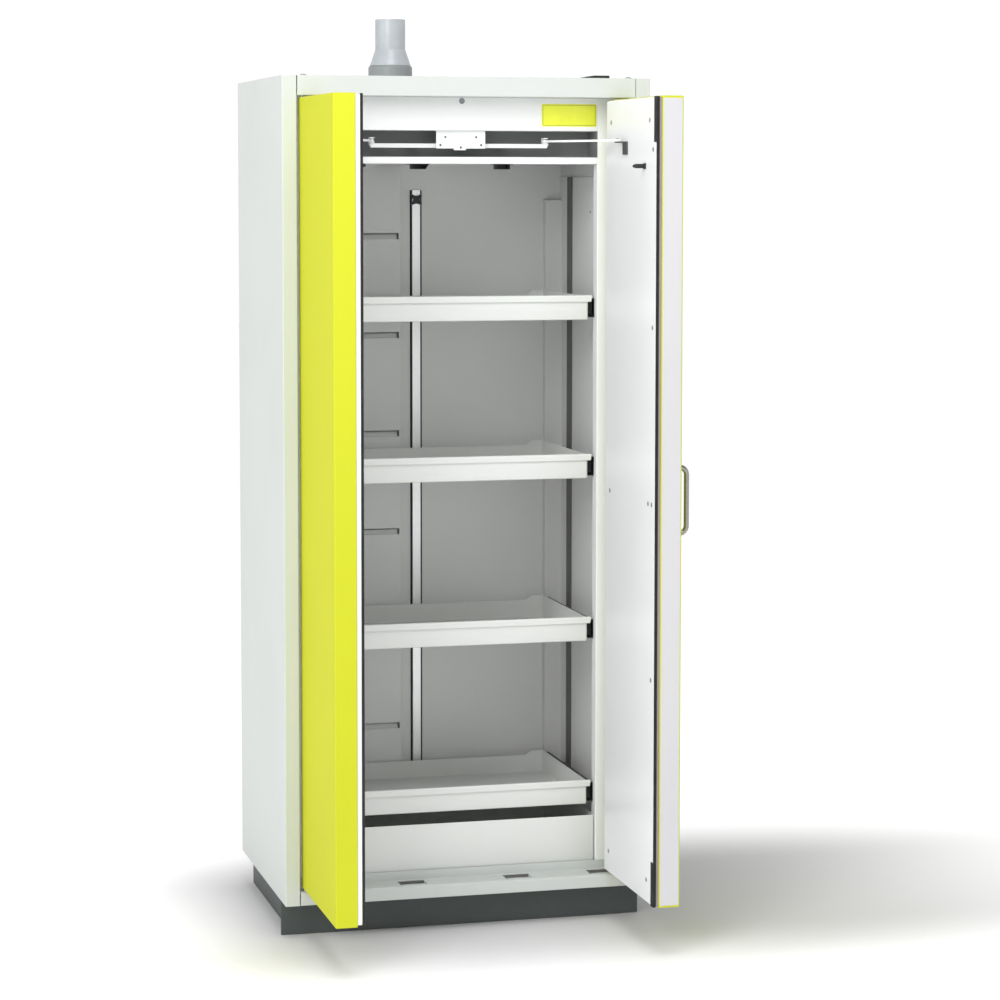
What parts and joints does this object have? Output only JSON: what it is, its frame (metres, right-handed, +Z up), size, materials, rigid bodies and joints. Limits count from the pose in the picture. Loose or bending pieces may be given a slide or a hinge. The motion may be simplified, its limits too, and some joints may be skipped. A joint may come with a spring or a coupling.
{
  "type": "flammable safety cabinet",
  "caption": "Tall insulated safety cabinet for flammable liquids, with coupled wing doors, pull-out trays, a collecting sump and a roof exhaust connection.",
  "frame": {"origin": "on the floor, in the middle of the closed cabinet's footprint", "axes": "+X to the right as seen from the front, +Y from the front to the back, +Z up"},
  "size_m": [0.876, 0.9905, 2.16],
  "materials": {
    "casing_paint": "satin",
    "frame_paint": "satin",
    "door_yellow": "satin",
    "door_white": "satin",
    "tray_paint": "satin",
    "plinth_paint": "matte",
    "recess_paint": "matte",
    "liner_board": "satin",
    "duct_sheet": "satin",
    "upright_paint": "satin",
    "mineral_board": "matte",
    "fire_board": "matte",
    "black_plastic": "matte",
    "black_rail": "satin",
    "seal_rubber": "matte",
    "zinc": "satin",
    "grip_steel": "satin",
    "notice_yellow": "gloss",
    "cap_grey": "matte",
    "duct_plastic": "satin",
    "collar_plastic": "satin",
    "housing_plastic": "matte"
  },
  "bodies": {
    "root": {"corner_duct": "duct_sheet", "cover_caps": "cap_grey", "door_catches": "black_plastic", "exhaust_collar": "collar_plastic", "exhaust_duct_panel": "duct_sheet", "exhaust_spigot": "duct_plastic", "front_fascia": "casing_paint", "front_jambs": "frame_paint", "guide_cover_plate": "frame_paint", "guide_rail": "frame_paint", "header_panel": "frame_paint", "hinge_pins": "zinc", "inner_top_rail": "frame_paint", "insulation_boards": "mineral_board", "levelling_feet": "black_plastic", "liner_panels": "liner_board", "mechanism_recess": "recess_paint", "notice_plate": "notice_yellow", "panel_screws": "zinc", "plinth_frame": "plinth_paint", "plinth_front_cover": "plinth_paint", "rear_and_bottom_panels": "casing_paint", "rear_channel_rail_and_clip": "frame_paint", "roof_housing": "housing_plastic", "runner_fixed_rails": "black_rail", "runner_uprights": "upright_paint", "side_panel_left": "casing_paint", "side_panel_right": "casing_paint", "sump_pan": "tray_paint", "threshold_sill": "casing_paint", "top_panel": "casing_paint"},
    "exhaust_flap": {"exhaust_flap": "zinc"},
    "left_closing_arm": {"left_closing_arm": "frame_paint"},
    "left_door": {"left_door_arm_lug": "black_plastic", "left_door_core": "fire_board", "left_door_inner_pan": "door_white", "left_door_screws": "zinc", "left_door_seal": "seal_rubber", "left_door_skin": "door_yellow", "left_door_tongue": "black_plastic"},
    "left_guide_slider": {"left_guide_slider": "frame_paint"},
    "right_closing_arm": {"right_closing_arm": "frame_paint"},
    "right_door": {"right_door_arm_lug": "black_plastic", "right_door_core": "fire_board", "right_door_edge_strip": "door_white", "right_door_grip": "grip_steel", "right_door_inner_pan": "door_white", "right_door_screws": "zinc", "right_door_seal": "seal_rubber", "right_door_skin": "door_yellow", "right_door_tongue": "black_plastic"},
    "right_guide_slider": {"right_guide_slider": "frame_paint"},
    "tray_1": {"tray_1": "tray_paint"},
    "tray_1_middle_rails": {"tray_1_middle_rails": "black_rail"},
    "tray_2": {"tray_2": "tray_paint"},
    "tray_2_middle_rails": {"tray_2_middle_rails": "black_rail"},
    "tray_3": {"tray_3": "tray_paint"},
    "tray_3_middle_rails": {"tray_3_middle_rails": "black_rail"},
    "tray_4": {"tray_4": "tray_paint"},
    "tray_4_middle_rails": {"tray_4_middle_rails": "black_rail"}
  },
  "joints": [
    {"name": "right_door_hinge", "type": "hinge", "parent": "root", "child": "right_door", "pos_m": [0.391, -0.2985, 1.04], "axis": [0, 0, 1], "range_deg": [-90, 0]},
    {"name": "left_door_hinge", "type": "hinge", "parent": "root", "child": "left_door", "pos_m": [-0.391, -0.2985, 1.04], "axis": [0, 0, 1], "range_deg": [0, 90]},
    {"name": "right_arm_pivot", "type": "hinge", "parent": "right_door", "child": "right_closing_arm", "pos_m": [0.3225, -0.4245, 1.8585], "axis": [0, 0, 1], "range_deg": [0, 147]},
    {"name": "left_arm_pivot", "type": "hinge", "parent": "left_door", "child": "left_closing_arm", "pos_m": [-0.3225, -0.4245, 1.8585], "axis": [0, 0, 1], "range_deg": [-147, 0]},
    {"name": "right_slider_pivot", "type": "hinge", "parent": "right_closing_arm", "child": "right_guide_slider", "pos_m": [0.209, -0.205, 1.8585], "axis": [0, 0, 1], "range_deg": [-57, 0]},
    {"name": "left_slider_pivot", "type": "hinge", "parent": "left_closing_arm", "child": "left_guide_slider", "pos_m": [-0.209, -0.205, 1.8585], "axis": [0, 0, 1], "range_deg": [0, 57]},
    {"name": "tray_1_slide", "type": "slide", "parent": "root", "child": "tray_1", "axis": [0, -1, 0], "range_m": [0, 0.38]},
    {"name": "tray_1_middle_slide", "type": "slide", "parent": "root", "child": "tray_1_middle_rails", "axis": [0, -1, 0], "range_m": [0, 0.19]},
    {"name": "tray_2_slide", "type": "slide", "parent": "root", "child": "tray_2", "axis": [0, -1, 0], "range_m": [0, 0.38]},
    {"name": "tray_2_middle_slide", "type": "slide", "parent": "root", "child": "tray_2_middle_rails", "axis": [0, -1, 0], "range_m": [0, 0.19]},
    {"name": "tray_3_slide", "type": "slide", "parent": "root", "child": "tray_3", "axis": [0, -1, 0], "range_m": [0, 0.38]},
    {"name": "tray_3_middle_slide", "type": "slide", "parent": "root", "child": "tray_3_middle_rails", "axis": [0, -1, 0], "range_m": [0, 0.19]},
    {"name": "tray_4_slide", "type": "slide", "parent": "root", "child": "tray_4", "axis": [0, -1, 0], "range_m": [0, 0.38]},
    {"name": "tray_4_middle_slide", "type": "slide", "parent": "root", "child": "tray_4_middle_rails", "axis": [0, -1, 0], "range_m": [0, 0.19]},
    {"name": "exhaust_flap_turn", "type": "hinge", "parent": "root", "child": "exhaust_flap", "pos_m": [-0.078, 0.184, 2.113], "axis": [1, 0, 0], "range_deg": [0, 90]}
  ],
  "couplings": [
    {"joint": "left_door_hinge", "follows": "right_door_hinge", "ratio": -1},
    {"joint": "right_arm_pivot", "follows": "right_door_hinge", "ratio": -1.6317},
    {"joint": "left_arm_pivot", "follows": "right_door_hinge", "ratio": 1.6317},
    {"joint": "right_slider_pivot", "follows": "right_door_hinge", "ratio": 0.63167},
    {"joint": "left_slider_pivot", "follows": "right_door_hinge", "ratio": -0.63167},
    {"joint": "tray_1_middle_slide", "follows": "tray_1_slide", "ratio": 0.5},
    {"joint": "tray_2_middle_slide", "follows": "tray_2_slide", "ratio": 0.5},
    {"joint": "tray_3_middle_slide", "follows": "tray_3_slide", "ratio": 0.5},
    {"joint": "tray_4_middle_slide", "follows": "tray_4_slide", "ratio": 0.5}
  ]
}
